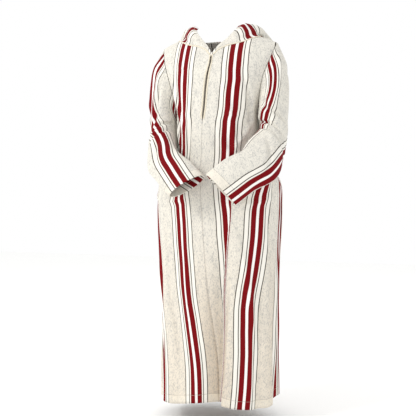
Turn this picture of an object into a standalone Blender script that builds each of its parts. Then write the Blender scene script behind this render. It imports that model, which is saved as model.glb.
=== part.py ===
"""Hooded djellaba robe, worn and hollow: cloth panels, sleeves, hood, braid and a front zip with a pull tab.

Metres, +Z up, the front faces -Y and the wearer's left is +X. The origin is at the base of the neck, level with the
top of the shoulders. Each cloth piece is a thin closed wall lofted through sections.
"""

import math

import bmesh
import bpy
from mathutils import Matrix, Vector

# Driving sizes of the robe
HEM_HEIGHT = -1.420
UNDERARM_HEIGHT = -0.290
SHOULDER_ROLL_HEIGHT = -0.170
SHOULDER_CROWN = 0.035
SHOULDER_SLOPE = 1.05
SECTION_POWER = 2.3
ARMHOLE_INSET = 26.0
ARMHOLE_ROUND = 0.55
ARMHOLE_SHARE = 0.88
NECK_CORNER_ANGLE = 46.0
SIDE_ANGLE = 90.0
PAST_SIDE = 0.001
CLOTH = 0.0016
SEAM_GAP = 0.0003
NECK_AXIS_Y = -0.010

# Driving sizes of the zip
ZIP_LENGTH = 0.250
ZIP_HALF_GAP = 0.0042
TAPE_WIDTH = 0.011
TAPE_THICKNESS = 0.0007
BRAID_WIDTH = 0.0050
BRAID_THICKNESS = 0.0014
BRAID_INSET = 0.0014
BRAID_LIFT = 0.0008
NECK_BRAID_LIFT = 0.0021
SLIDER_WIDTH = 0.0052
SLIDER_HEIGHT = 0.0115
SLIDER_DEPTH = 0.0024
SLIDER_DROP = 0.0090
CROWN_WIDTH = 0.0014
CROWN_BAR = 0.0009
CROWN_ROOM = 0.0024
CROWN_LENGTH = 0.0062
PULL_LENGTH = 0.0240
PULL_WIDTH = 0.0056
PULL_THICKNESS = 0.0014
PULL_WINDOW_WIDTH = 0.0030
PULL_WINDOW_HEIGHT = 0.0056

# Pocket slits in the side seams
SLIT_TOP = -0.560
SLIT_FOOT = -0.790
SLIT_HALF_GAP = 0.0060

# Body sections: height, half width, depth in front of the shoulder line, depth behind it
BODY_SECTIONS = (
    (-1.420, 0.238, 0.165, 0.168),
    (-1.150, 0.236, 0.160, 0.162),
    (-0.850, 0.240, 0.160, 0.155),
    (-0.640, 0.248, 0.162, 0.150),
    (-0.550, 0.240, 0.154, 0.143),
    (-0.450, 0.167, 0.138, 0.132),
    (-0.360, 0.161, 0.140, 0.125),
    (-0.280, 0.164, 0.140, 0.120),
    (-0.170, 0.200, 0.140, 0.115),
    (-0.080, 0.230, 0.128, 0.105),
    (0.040, 0.240, 0.110, 0.092),
)

# Folds: angle at the hem, angle at the top, half width in degrees, depth at the hem, sideways lean, and the
# height where it ends
BODY_FOLDS = (
    (1.0, 18.0, 12.0, 0.050, 0.032, -0.560),
    (-30.0, -34.0, 13.0, 0.014, 0.000, -0.700),
    (52.0, 47.0, 13.0, 0.016, 0.000, -0.640),
    (-68.0, -66.0, 12.0, 0.017, 0.000, -0.620),
    (84.0, 80.0, 12.0, 0.018, 0.000, -0.600),
    (-104.0, -100.0, 14.0, 0.020, 0.000, -0.660),
    (116.0, 110.0, 14.0, 0.022, 0.000, -0.640),
    (-142.0, -138.0, 14.0, 0.024, 0.000, -0.500),
    (148.0, 146.0, 13.0, 0.020, 0.000, -0.560),
    (178.0, 179.0, 14.0, 0.026, 0.000, -0.420),
)

# Sway of the front: height, degrees that the centre front has slid round the body
FRONT_SWAY = (
    (-1.420, 0.6),
    (-1.250, 1.4),
    (-1.090, 0.9),
    (-1.014, 0.3),
    (-0.900, -0.6),
    (-0.780, -2.1),
    (-0.680, -3.0),
    (-0.560, -5.5),
    (-0.430, -8.4),
    (-0.330, -7.2),
    (-0.230, -4.8),
    (-0.156, -2.2),
    (-0.120, -0.7),
    (-0.105, -0.15),
    (-0.092, 0.0),
    (-0.080, 0.0),
    (0.040, 0.0),
)

# Neckline: angle round the body, how far up the shoulder's roll the cloth ends
FRONT_NECKLINE = ((0.0, 28.0), (5.4, 37.0), (12.0, 42.5), (30.4, 54.0), (40.0, 71.0), (46.0, 90.0))
BACK_NECKLINE = ((134.0, 90.0), (142.0, 74.0), (158.0, 62.0), (180.0, 58.0))

# Hem: angle round the body, rise above the hem's height
HEM_LINE = (
    (-180.0, 0.014),
    (-110.0, 0.022),
    (-62.0, 0.008),
    (-36.0, 0.008),
    (-8.0, 0.026),
    (10.0, 0.022),
    (22.0, 0.013),
    (58.0, 0.009),
    (76.0, 0.018),
    (96.0, 0.038),
    (150.0, 0.022),
    (180.0, 0.014),
)

# Sleeves: centre x, y, z, then the outward axis x, y, z, half width along it, half thickness across it
SLEEVE_LEFT = (
    (0.214, -0.004, -0.190, 0.40, 0.00, 0.92, 0.113, 0.073),
    (0.218, -0.008, -0.234, 0.58, 0.00, 0.81, 0.088, 0.077),
    (0.220, -0.014, -0.294, 0.86, 0.00, 0.51, 0.060, 0.078),
    (0.223, -0.034, -0.365, 0.96, 0.26, -0.10, 0.054, 0.066),
    (0.212, -0.108, -0.432, 0.86, 0.26, -0.44, 0.072, 0.052),
    (0.198, -0.178, -0.490, 0.74, 0.22, -0.66, 0.077, 0.044),
    (0.142, -0.222, -0.528, 0.68, 0.21, -0.71, 0.079, 0.037),
    (0.080, -0.250, -0.580, 0.66, 0.21, -0.72, 0.077, 0.033),
)
SLEEVE_RIGHT = (
    (-0.222, -0.004, -0.190, -0.40, 0.00, 0.92, 0.113, 0.073),
    (-0.227, -0.008, -0.234, -0.58, 0.00, 0.81, 0.088, 0.077),
    (-0.226, -0.014, -0.294, -0.86, 0.00, 0.51, 0.063, 0.078),
    (-0.222, -0.026, -0.360, -1.00, 0.00, -0.02, 0.053, 0.074),
    (-0.202, -0.103, -0.428, -0.94, -0.10, -0.34, 0.054, 0.057),
    (-0.166, -0.176, -0.478, -0.86, -0.22, -0.46, 0.067, 0.044),
    (-0.110, -0.214, -0.519, -0.83, -0.26, -0.50, 0.073, 0.037),
    (-0.054, -0.238, -0.568, -0.82, -0.27, -0.51, 0.073, 0.032),
)

# Hood: place round the neck, then how far out and up from the seam its cloth lies a quarter, half, three
# quarters and all of the way to the free rim
HOOD_STATIONS = (
    (0.00, -0.001, 0.003, -0.002, 0.006, -0.003, 0.009, -0.004, 0.012),
    (0.12, -0.002, 0.007, -0.004, 0.013, -0.007, 0.018, -0.011, 0.024),
    (0.25, -0.003, 0.012, -0.007, 0.024, -0.014, 0.035, -0.026, 0.043),
    (0.38, -0.010, 0.010, -0.014, 0.030, -0.030, 0.052, -0.052, 0.050),
    (0.50, -0.020, 0.008, -0.030, 0.030, -0.052, 0.054, -0.080, 0.046),
    (0.62, 0.014, 0.016, 0.030, 0.014, 0.026, 0.038, -0.035, 0.048),
    (0.74, 0.066, -0.006, 0.100, -0.078, 0.120, -0.050, 0.026, 0.046),
    (0.87, 0.086, -0.056, 0.108, -0.245, 0.142, -0.225, 0.094, 0.014),
    (1.00, 0.094, -0.084, 0.108, -0.362, 0.142, -0.345, 0.130, -0.022),
)

NECK_COLUMNS = 9
SHOULDER_COLUMNS = 9
NAPE_COLUMNS = 2 * NECK_COLUMNS - 1
SKIRT_ROWS = 15
ARMHOLE_ROWS = 3
SHOULDER_ROWS = 6
SLEEVE_SIDES = 2 * (ARMHOLE_ROWS + SHOULDER_ROWS)
SLEEVE_STEPS = 3
HOOD_COLUMNS = 4 * (NECK_COLUMNS - 1)
HOOD_ROWS = 13


def clamp(value, low=0.0, high=1.0):
    return max(low, min(high, value))


def ease(value):
    """Smooth step from 0 to 1."""
    t = clamp(value)
    return t * t * (3.0 - 2.0 * t)


def read_table(table, key, column):
    """Value of one column at a key, on a smooth curve through the table's rows."""
    rows = table if table[0][0] < table[-1][0] else tuple(reversed(table))
    if key <= rows[0][0]:
        return rows[0][column]
    if key >= rows[-1][0]:
        return rows[-1][column]
    index = max(i for i in range(len(rows) - 1) if rows[i][0] <= key)
    near = (index - 1, index, index + 1, index + 2)
    before, low, high, after = (rows[clamp_index(i, len(rows))] for i in near)
    span = high[0] - low[0]
    t = (key - low[0]) / span
    slope_low = (high[column] - before[column]) / (high[0] - before[0]) * span
    slope_high = (after[column] - low[column]) / (after[0] - low[0]) * span
    return (
        (2 * t**3 - 3 * t**2 + 1) * low[column]
        + (t**3 - 2 * t**2 + t) * slope_low
        + (3 * t**2 - 2 * t**3) * high[column]
        + (t**3 - t**2) * slope_high
    )


def clamp_index(index, length):
    return max(0, min(length - 1, index))


def thread_curve(points, along):
    """A place on the smooth curve through a row of points; along counts points from the first."""
    low = clamp_index(int(math.floor(along)), len(points) - 1)
    t = along - low
    p0, p1, p2, p3 = (points[clamp_index(k, len(points))] for k in (low - 1, low, low + 1, low + 2))
    cubic = 3.0 * p1 - p0 - 3.0 * p2 + p3
    return 0.5 * (2.0 * p1 + (p2 - p0) * t + (2.0 * p0 - 5.0 * p1 + 4.0 * p2 - p3) * t**2 + cubic * t**3)


def shoulder_height(x):
    return SHOULDER_CROWN - SHOULDER_SLOPE * x * x


def hem_height(angle):
    return HEM_HEIGHT + read_table(HEM_LINE, (angle + 180.0) % 360.0 - 180.0, 1)


def signed_power(value, power):
    return math.copysign(abs(value) ** power, value)


def armhole_turn(height, top):
    """Angle at which the front or back ends beside the arm; 90 degrees where it meets at the side seam."""
    along = clamp(ARMHOLE_SHARE * (height - UNDERARM_HEIGHT) / (top - UNDERARM_HEIGHT))
    inset = ARMHOLE_INSET * math.sin(math.pi * along) ** ARMHOLE_ROUND if along > 0.0 else 0.0
    return SIDE_ANGLE - inset


def fold_offset(angle, height):
    """Depth and sideways lean of the folds at a place on the skirt."""
    depth = lean = 0.0
    for hem_angle, top_angle, half_width, hem_depth, hem_lean, end_height in BODY_FOLDS:
        fade = clamp((end_height - height) / (end_height - HEM_HEIGHT))
        if fade <= 0.0:
            continue
        centre = top_angle + (hem_angle - top_angle) * fade
        away = (angle - centre + 180.0) % 360.0 - 180.0
        if abs(away) < half_width:
            bump = math.cos(math.pi / 2.0 * away / half_width) ** 2 * ease(fade * 1.6) * (0.55 + 0.45 * fade)
            depth += hem_depth * bump
            lean += hem_lean * bump
    return depth, lean


def slide_front(angle, height):
    """Angle round the body after the front has slid sideways at a height; the side seams stay."""
    return angle + read_table(FRONT_SWAY, height, 1) * math.cos(math.radians(angle)) ** 2


def body_point(angle, height, roll=0.0):
    """A place on the body cloth, by angle from the centre front, height, and degrees up the shoulder's roll."""
    angle = (angle + 180.0) % 360.0 - 180.0
    behind = abs(angle) > SIDE_ANGLE
    turn = math.copysign(180.0 - abs(angle), angle) if behind else angle
    lift = math.sin(math.radians(roll))
    level = height
    x = 0.0
    for _ in range(3):
        if roll > 0.0:
            level = SHOULDER_ROLL_HEIGHT + (shoulder_height(x) - SHOULDER_ROLL_HEIGHT) * lift
        width = read_table(BODY_SECTIONS, level, 1)
        edge = armhole_turn(level, shoulder_height(width))
        slid = turn if behind else slide_front(turn, level)
        at = math.radians(slid * edge / SIDE_ANGLE)
        x = width * signed_power(math.sin(at), 2.0 / SECTION_POWER)
    depth = read_table(BODY_SECTIONS, level, 3 if behind else 2) * math.cos(math.radians(roll))
    y = depth * signed_power(math.cos(at), 2.0 / SECTION_POWER) * (1.0 if behind else -1.0)
    fold, lean = fold_offset(angle if behind else slid, level)
    inward = Vector((-x, -y, 0.0)).normalized() if fold else Vector((0.0, 0.0, 0.0))
    return Vector((x + inward.x * fold + lean, y + inward.y * fold, level))


def neckline_roll(angle):
    """How far up the shoulder's roll the cloth goes: to the neckline, or 90 degrees at the shoulder seam."""
    turn = abs((angle + 180.0) % 360.0 - 180.0)
    if turn <= NECK_CORNER_ANGLE:
        return read_table(FRONT_NECKLINE, turn, 1)
    if turn >= 180.0 - NECK_CORNER_ANGLE:
        return read_table(BACK_NECKLINE, turn, 1)
    return 90.0


def column_place(angle, row):
    """Height and roll of one row of a column, from the hem up to its top edge."""
    if row <= SKIRT_ROWS:
        bottom = hem_height(angle)
        return bottom + (UNDERARM_HEIGHT - bottom) * row / SKIRT_ROWS, 0.0
    if row <= SKIRT_ROWS + ARMHOLE_ROWS:
        step = (row - SKIRT_ROWS) / ARMHOLE_ROWS
        return UNDERARM_HEIGHT + (SHOULDER_ROLL_HEIGHT - UNDERARM_HEIGHT) * step, 0.0
    step = (row - SKIRT_ROWS - ARMHOLE_ROWS) / SHOULDER_ROWS
    return SHOULDER_ROLL_HEIGHT, neckline_roll(angle) * step


def panel_point(angle, row):
    return body_point(angle, *column_place(angle, row))


def surface_normal(place, first, second, first_step, second_step):
    """Normal of a surface given by a function of two values, by central differences."""
    along = place(first + first_step, second) - place(first - first_step, second)
    up = place(first, second + second_step) - place(first, second - second_step)
    return along.cross(up).normalized()


def wall_mesh(name, middle, normals, thickness, closed=False):
    """A wall of even thickness round a grid of middle points; closed joins its last column to its first."""
    rows, columns = len(middle), len(middle[0])
    half = thickness / 2.0
    points = [p + n * half for line, out in zip(middle, normals) for p, n in zip(line, out)]
    points += [p - n * half for line, out in zip(middle, normals) for p, n in zip(line, out)]
    inner = rows * columns

    def at(row, column, layer=0):
        return layer * inner + row * columns + column % columns

    faces = []
    spans = columns if closed else columns - 1
    for row in range(rows - 1):
        for column in range(spans):
            faces.append((at(row, column), at(row, column + 1), at(row + 1, column + 1), at(row + 1, column)))
            corners = ((row, column), (row + 1, column), (row + 1, column + 1), (row, column + 1))
            faces.append(tuple(at(line, place, 1) for line, place in corners))
    for column in range(spans):
        faces.append((at(0, column), at(0, column, 1), at(0, column + 1, 1), at(0, column + 1)))
        top = rows - 1
        faces.append((at(top, column), at(top, column + 1), at(top, column + 1, 1), at(top, column, 1)))
    if not closed:
        for row in range(rows - 1):
            last = columns - 1
            faces.append((at(row, 0), at(row + 1, 0), at(row + 1, 0, 1), at(row, 0, 1)))
            faces.append((at(row, last), at(row, last, 1), at(row + 1, last, 1), at(row + 1, last)))
    mesh = bpy.data.meshes.new(name)
    mesh.from_pydata([tuple(p) for p in points], [], faces)
    shell = bmesh.new()
    shell.from_mesh(mesh)
    bmesh.ops.recalc_face_normals(shell, faces=shell.faces)
    shell.to_mesh(mesh)
    shell.free()
    mesh.shade_smooth()
    return mesh


def add_object(name, mesh, material):
    item = bpy.data.objects.new(name, mesh)
    mesh.materials.append(material)
    bpy.data.collections["djellaba_robe"].objects.link(item)
    return item


def make_material(name, colour, roughness, metallic=0.0):
    material = bpy.data.materials.new(name)
    material.use_nodes = True
    shader = material.node_tree.nodes["Principled BSDF"]
    shader.inputs["Base Color"].default_value = (*colour, 1.0)
    shader.inputs["Roughness"].default_value = roughness
    shader.inputs["Metallic"].default_value = metallic
    return material


def spread(start, end, count):
    return [start + (end - start) * i / (count - 1) for i in range(count)]


def make_panel(name, angles, material):
    """A front or back panel, its seam edges half a gap short; returns its points and normals."""
    rows = SKIRT_ROWS + ARMHOLE_ROWS + SHOULDER_ROWS + 1
    middle, normals = [], []
    for row in range(rows):
        line, out = [], []
        for index, angle in enumerate(angles):
            point = panel_point(angle, row)
            if row == rows - 1:
                point = point + (panel_point(angle, row - 0.05) - point).normalized() * SEAM_GAP / 2.0
            inward = 1.0 if index == 0 else -1.0
            at_edge = index in (0, len(angles) - 1)
            if at_edge:
                along = (panel_point(angle + inward * 0.5, row) - panel_point(angle, row)).normalized()
                point = point + along * edge_gap(angle, point)
            line.append(point)
            sample = angle + inward * 0.02 if at_edge else angle
            out.append(surface_normal(panel_point, sample, min(row, rows - 1.02), 0.01, 0.01))
        middle.append(line)
        normals.append(out)
    add_object(name, wall_mesh(name, middle, normals, CLOTH), material)
    return middle, normals


def edge_gap(angle, point):
    """Half the gap at a panel's edge: the seam's own, the zip's opening, or the gape of a pocket slit."""
    half = SEAM_GAP / 2.0
    if abs(angle) < 0.01:
        foot = body_point(0.0, SHOULDER_ROLL_HEIGHT, neckline_roll(0.0)).z - ZIP_LENGTH
        return half + (ZIP_HALF_GAP - half) * ease((point.z - foot) / 0.030)
    if SLIT_FOOT < point.z < SLIT_TOP:
        return half + SLIT_HALF_GAP * math.sin(math.pi * (point.z - SLIT_FOOT) / (SLIT_TOP - SLIT_FOOT)) ** 2
    return half


def seam_start(seam, panel_out, panel_normal, ahead):
    """First point of a piece sewn to a panel's edge, clear of the panel whichever way the piece turns."""
    turned = clamp(1.5 * (1.0 - panel_out.dot(ahead)))
    beside = seam + panel_out * SEAM_GAP * (1.0 + 2.0 * turned)
    return beside + panel_normal * (CLOTH + SEAM_GAP * 2.0) * turned


def armhole_point(side, turn):
    """A place on the armhole: turn 0 at the shoulder, 90 in front, 180 under the arm, 270 behind."""
    behind = turn > 180.0
    rise = 1.0 - (turn if not behind else 360.0 - turn) / 180.0
    rows_below = SKIRT_ROWS
    row = rows_below + rise * (ARMHOLE_ROWS + SHOULDER_ROWS)
    edge = (SIDE_ANGLE + 0.001) if behind else (SIDE_ANGLE - 0.001)
    return panel_point(side * edge, row)


def sleeve_rings(side, stations):
    """Rings of a sleeve from the armhole to the cuff."""
    turns = [360.0 * i / SLEEVE_SIDES for i in range(SLEEVE_SIDES)]
    rings = [[armhole_point(side, turn) for turn in turns]]
    centres = [Vector(row[0:3]) for row in stations]
    for index, row in enumerate(stations):
        ahead = centres[min(index + 1, len(centres) - 1)] - centres[max(index - 1, 0)]
        ahead.normalize()
        outward = Vector(row[3:6]).normalized()
        across = ahead.cross(outward).normalized() * side
        ring = []
        for turn in turns:
            angle = math.radians(turn)
            place = centres[index] + outward * math.cos(angle) * row[6]
            ring.append(place + across * math.sin(angle) * row[7])
        rings.append(ring)
    return rings


def make_sleeve(name, side, stations, material):
    rings = sleeve_rings(side, stations)
    steps = (len(rings) - 1) * SLEEVE_STEPS
    middle, normals = [], []
    for step in range(steps + 1):
        along = step / SLEEVE_STEPS
        middle.append([thread_curve([ring[i] for ring in rings], along) for i in range(SLEEVE_SIDES)])
    for step, line in enumerate(middle):
        above = middle[min(step + 1, steps)]
        below = middle[max(step - 1, 0)]
        out = []
        for i in range(SLEEVE_SIDES):
            across = line[(i + 1) % SLEEVE_SIDES] - line[i - 1]
            out.append((above[i] - below[i]).cross(across).normalized() * side)
        normals.append(out)
    for i in range(SLEEVE_SIDES):
        turn = 360.0 * i / SLEEVE_SIDES
        behind = turn > 180.0
        rise = 1.0 - (turn if not behind else 360.0 - turn) / 180.0
        row = SKIRT_ROWS + rise * (ARMHOLE_ROWS + SHOULDER_ROWS)
        row = clamp(row, SKIRT_ROWS + 0.1, SKIRT_ROWS + ARMHOLE_ROWS + SHOULDER_ROWS - 0.1)
        edge = side * (SIDE_ANGLE + (1.0 if behind else -1.0))
        panel_normal = surface_normal(panel_point, edge, row, 0.01, 0.01)
        panel_out = panel_point(side * (SIDE_ANGLE + (0.1 if behind else -0.1)), row) - panel_point(edge, row)
        if abs(turn - 180.0) < 0.001:
            panel_out = Vector((0.0, 0.0, 1.0))
        ahead = (middle[1][i] - middle[0][i]).normalized()
        middle[0][i] = seam_start(middle[0][i], panel_out.normalized(), panel_normal, ahead)
    return add_object(name, wall_mesh(name, middle, normals, CLOTH, closed=True), material)


def neck_angle(place):
    """Angle round the body of a place on the neck seam: 0 at the V, 0.5 at the shoulder, 1 at the nape."""
    turn = abs(place)
    angle = NECK_CORNER_ANGLE * turn / 0.5 if turn <= 0.5 else 180.0 - NECK_CORNER_ANGLE * (1.0 - turn) / 0.5
    return math.copysign(angle, place)


def neck_seam(place):
    angle = neck_angle(place)
    return body_point(angle, SHOULDER_ROLL_HEIGHT, neckline_roll(angle))


def hood_point(place, down):
    """A place on the hood: round the neck from -1 to 1, and down from 0 at the neck seam to 1 at the rim."""
    wrapped = (place + 1.0) % 2.0 - 1.0
    station = abs(wrapped)
    seam = neck_seam(station)
    away = Vector((seam.x, seam.y - NECK_AXIS_Y, 0.0)).normalized()
    points = [seam]
    for column in (1, 3, 5, 7):
        out, up = (read_table(HOOD_STATIONS, station, k) for k in (column, column + 1))
        points.append(seam + away * out + Vector((0.0, 0.0, up)))
    point = thread_curve(points, down * (len(points) - 1))
    return Vector((math.copysign(point.x, wrapped), point.y, point.z))


def make_hood(material):
    """The hood, lying open: short lobes in front, a deep fall behind, one wall all round the neck seam."""
    places = [-1.0 + 2.0 * i / HOOD_COLUMNS for i in range(HOOD_COLUMNS)]
    last_row = SKIRT_ROWS + ARMHOLE_ROWS + SHOULDER_ROWS
    middle, normals = [], []
    for row in range(HOOD_ROWS):
        down = row / (HOOD_ROWS - 1)
        sample = clamp(down, 0.02, 0.98)
        line = []
        out = []
        for place in places:
            point = hood_point(place, down)
            if row == 0:
                angle = neck_angle(place)
                below = panel_point(angle, last_row - 0.1)
                panel_normal = surface_normal(panel_point, angle, last_row - 0.1, 0.01, 0.01)
                ahead = (hood_point(place, 0.05) - point).normalized()
                point = seam_start(point, (point - below).normalized(), panel_normal, ahead)
            line.append(point)
            out.append(surface_normal(hood_point, place, sample, 0.004, 0.01))
        middle.append(line)
        normals.append(out)
    return add_object("hood", wall_mesh("hood", middle, normals, CLOTH, closed=True), material)


def on_panel(panel, row, column, lift):
    """A place on a panel's own facets, between its rows and columns, moved out from the cloth's middle."""
    middle, normals = panel
    low_row = clamp_index(int(math.floor(row)), len(middle) - 1)
    low_column = clamp_index(int(math.floor(column)), len(middle[0]) - 1)
    up, across = row - low_row, column - low_column

    def blend(grid):
        lower = grid[low_row][low_column].lerp(grid[low_row][low_column + 1], across)
        upper = grid[low_row + 1][low_column].lerp(grid[low_row + 1][low_column + 1], across)
        return lower.lerp(upper, up)

    return blend(middle) + blend(normals).normalized() * lift


def make_strip(name, lines, thickness, material):
    """A flat strip between two lines of points and their outward normals."""
    (first, first_normals), (second, second_normals) = lines
    mesh = wall_mesh(name, [first, second], [first_normals, second_normals], thickness)
    return add_object(name, mesh, material)


def step_line(panel, places, lift):
    """Points and outward normals along a list of row and column places on a panel."""
    points = [on_panel(panel, row, column, lift) for row, column in places]
    raised = [on_panel(panel, row, column, lift + 0.001) for row, column in places]
    normals = [(high - low).normalized() for high, low in zip(raised, points)]
    return points, normals


def front_edge_column(panel, side, row, inset):
    """Column place that lies a distance in from the centre front edge of a front panel."""
    last = len(panel[0][0]) - 1
    low = clamp_index(int(math.floor(row)), len(panel[0]) - 1)
    first, second = (0, 1) if side > 0 else (last, last - 1)
    width = (panel[0][low][second] - panel[0][low][first]).length
    return inset / width if side > 0 else last - inset / width


def row_at_height(panel, column, height):
    """Row place at which a column of a panel reaches a height."""
    heights = [line[column].z for line in panel[0]]
    low = max(i for i in range(len(heights) - 1) if heights[i] <= height)
    return low + (height - heights[low]) / (heights[low + 1] - heights[low])


def make_front_trim(name, panel, side, insets, lift, thickness, material):
    """Braid or tape down the zip's side of a front panel, following each of its rows."""
    edge = 0 if side > 0 else len(panel[0][0]) - 1
    top = len(panel[0]) - 1
    top_row = top - BRAID_INSET / (panel[0][top][edge] - panel[0][top - 1][edge]).length
    foot_row = row_at_height(panel, edge, panel[0][top][edge].z - ZIP_LENGTH)
    rows = [foot_row] + [r for r in range(top) if foot_row < r < top_row] + [top_row]
    lines = []
    for inset in insets:
        lines.append(step_line(panel, [(r, front_edge_column(panel, side, r, inset)) for r in rows], lift))
    return make_strip(name, lines, thickness, material)


def make_neck_trim(name, panel, side, material):
    """Braid along the neck seam of a front panel, from beside the zip to the shoulder."""
    last = len(panel[0][0]) - 1
    top = len(panel[0]) - 1
    start = front_edge_column(panel, side, top - 0.5, 2.0 * BRAID_INSET + BRAID_WIDTH)
    columns = [start] + [float(c if side > 0 else last - c) for c in range(1, NECK_COLUMNS)]
    lines = []
    for inset in (BRAID_INSET * 0.5, BRAID_INSET * 0.5 + BRAID_WIDTH * 0.8):
        places = []
        for column in columns:
            whole = clamp_index(int(round(column)), last + 1)
            length = (panel[0][top][whole] - panel[0][top - 1][whole]).length
            places.append((top - inset / length, column))
        lines.append(step_line(panel, places, CLOTH / 2.0 + NECK_BRAID_LIFT + BRAID_THICKNESS / 2.0))
    return make_strip(name, lines, BRAID_THICKNESS, material)


def add_block(name, size, centre, frame, material):
    """A box of a size, at a centre given in a frame's own axes."""
    mesh = bpy.data.meshes.new(name)
    shape = bmesh.new()
    bmesh.ops.create_cube(shape, size=1.0)
    for vertex in shape.verts:
        vertex.co = Vector(v * s + c for v, s, c in zip(vertex.co, size, centre))
    shape.to_mesh(mesh)
    shape.free()
    item = add_object(name, mesh, material)
    item.matrix_world = frame
    return item


def combine(target, other, operation):
    """Boolean of two objects, with the second one kept only as a cutter."""
    tool = target.modifiers.new(operation.lower(), "BOOLEAN")
    tool.operation = operation
    tool.solver = "EXACT"
    tool.object = other
    other.hide_render = True
    other.display_type = "WIRE"


def make_zip(panels, braid, tape, metal):
    """Tapes, braid, slider and pull tab of the front zip."""
    tape_lift = -(CLOTH / 2.0 + BRAID_LIFT + TAPE_THICKNESS / 2.0)
    braid_lift = CLOTH / 2.0 + BRAID_LIFT + BRAID_THICKNESS / 2.0
    for word, side, panel in (("left", 1.0, panels[0]), ("right", -1.0, panels[1])):
        braid_edges = (BRAID_INSET, BRAID_INSET + BRAID_WIDTH)
        tape_edges = (0.0002, TAPE_WIDTH)
        make_front_trim("front_braid_" + word, panel, side, braid_edges, braid_lift, BRAID_THICKNESS, braid)
        make_front_trim("zip_tape_" + word, panel, side, tape_edges, tape_lift, TAPE_THICKNESS, tape)
        make_neck_trim("neck_braid_" + word, panel, side, braid)

    top = len(panels[0][0]) - 1
    head = panels[0][0][top][0]
    below = panels[0][0][top - 1][0]
    up = Vector((0.0, head.y - below.y, head.z - below.z)).normalized()
    out = Vector((0.0, -up.z, up.y))
    place = Vector((0.0, head.y, head.z)) - up * SLIDER_DROP
    frame = Matrix((Vector((1.0, 0.0, 0.0)), -out, up)).transposed().to_4x4()
    frame.translation = place
    front = -(SLIDER_DEPTH / 2.0)
    base = add_block("zip_slider", (SLIDER_WIDTH, SLIDER_DEPTH, SLIDER_HEIGHT), (0.0, 0.0, 0.0), frame, metal)
    reach = CROWN_ROOM + CROWN_BAR
    arch_size = (CROWN_WIDTH, reach + 0.0004, CROWN_LENGTH)
    arch = add_block("crown_block", arch_size, (0.0, front - reach / 2.0 + 0.0002, 0.0), frame, metal)
    room = add_block("crown_room", (CROWN_WIDTH * 2.0, CROWN_ROOM, CROWN_LENGTH - 2.0 * CROWN_BAR),
                     (0.0, front - CROWN_ROOM / 2.0, 0.0), frame, metal)
    combine(base, arch, "UNION")
    combine(base, room, "DIFFERENCE")

    hinge = Vector((0.0, front - CROWN_ROOM / 2.0, CROWN_LENGTH / 2.0 - CROWN_BAR - CROWN_ROOM / 2.0))
    pivot = frame.copy()
    pivot.translation = frame @ hinge
    half = PULL_THICKNESS / 2.0
    pull_size = (PULL_WIDTH, PULL_THICKNESS, PULL_LENGTH)
    pull = add_block("zip_pull", pull_size, (0.0, 0.0, half - PULL_LENGTH / 2.0), pivot, metal)
    window = add_block("pull_window", (PULL_WINDOW_WIDTH, PULL_THICKNESS * 3.0, PULL_WINDOW_HEIGHT),
                       (0.0, 0.0, -half - PULL_WINDOW_HEIGHT / 2.0), pivot, metal)
    combine(pull, window, "DIFFERENCE")


def build():
    for item in list(bpy.data.objects):
        bpy.data.objects.remove(item, do_unlink=True)
    collection = bpy.data.collections.new("djellaba_robe")
    bpy.context.scene.collection.children.link(collection)
    cloth = make_material("striped_cloth", (0.74, 0.70, 0.62), 0.85)
    braid = make_material("braid", (0.78, 0.72, 0.60), 0.75)
    tape = make_material("zip_tape", (0.72, 0.68, 0.60), 0.80)
    metal = make_material("zip_metal", (0.18, 0.16, 0.14), 0.35, 1.0)
    half_front = spread(0.0, NECK_CORNER_ANGLE, NECK_COLUMNS)
    half_front += spread(NECK_CORNER_ANGLE, SIDE_ANGLE, SHOULDER_COLUMNS)[1:]
    first_back = [SIDE_ANGLE + PAST_SIDE] + [180.0 - a for a in reversed(half_front[NECK_COLUMNS - 1:-1])]
    nape = spread(180.0 - NECK_CORNER_ANGLE, 180.0 + NECK_CORNER_ANGLE, NAPE_COLUMNS)[1:-1]
    left = make_panel("front_left", half_front, cloth)
    right = make_panel("front_right", [-a for a in reversed(half_front)], cloth)
    make_panel("back", first_back + nape + [360.0 - a for a in reversed(first_back)], cloth)
    make_sleeve("sleeve_left", 1.0, SLEEVE_LEFT, cloth)
    make_sleeve("sleeve_right", -1.0, SLEEVE_RIGHT, cloth)
    make_hood(cloth)
    make_zip((left, right), braid, tape, metal)


build()
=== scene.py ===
import math

import bpy
import numpy as np
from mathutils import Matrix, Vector, noise


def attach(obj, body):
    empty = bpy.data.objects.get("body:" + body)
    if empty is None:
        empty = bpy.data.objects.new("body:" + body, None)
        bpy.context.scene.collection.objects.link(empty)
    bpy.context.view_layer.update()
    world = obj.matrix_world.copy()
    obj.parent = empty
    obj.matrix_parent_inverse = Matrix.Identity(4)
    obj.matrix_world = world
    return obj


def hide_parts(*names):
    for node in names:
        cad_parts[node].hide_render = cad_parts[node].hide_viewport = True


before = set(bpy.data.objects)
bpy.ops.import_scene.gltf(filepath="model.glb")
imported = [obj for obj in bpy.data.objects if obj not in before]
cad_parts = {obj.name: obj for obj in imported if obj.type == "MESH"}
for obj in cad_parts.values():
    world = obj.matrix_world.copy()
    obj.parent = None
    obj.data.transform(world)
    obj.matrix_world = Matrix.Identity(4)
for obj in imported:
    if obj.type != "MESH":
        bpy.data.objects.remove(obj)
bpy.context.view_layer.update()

# Camera: the robe is seen a little from the wearer's left
CAMERA_AZIMUTH = 18.0
CAMERA_ELEVATION = 2.0
CAMERA_DISTANCE = 3.1
VIEW_HEIGHT = 1.645
VIEW_MIDDLE = -0.655
VIEW_SIDE = -0.047
SENSOR = 36.0

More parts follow.
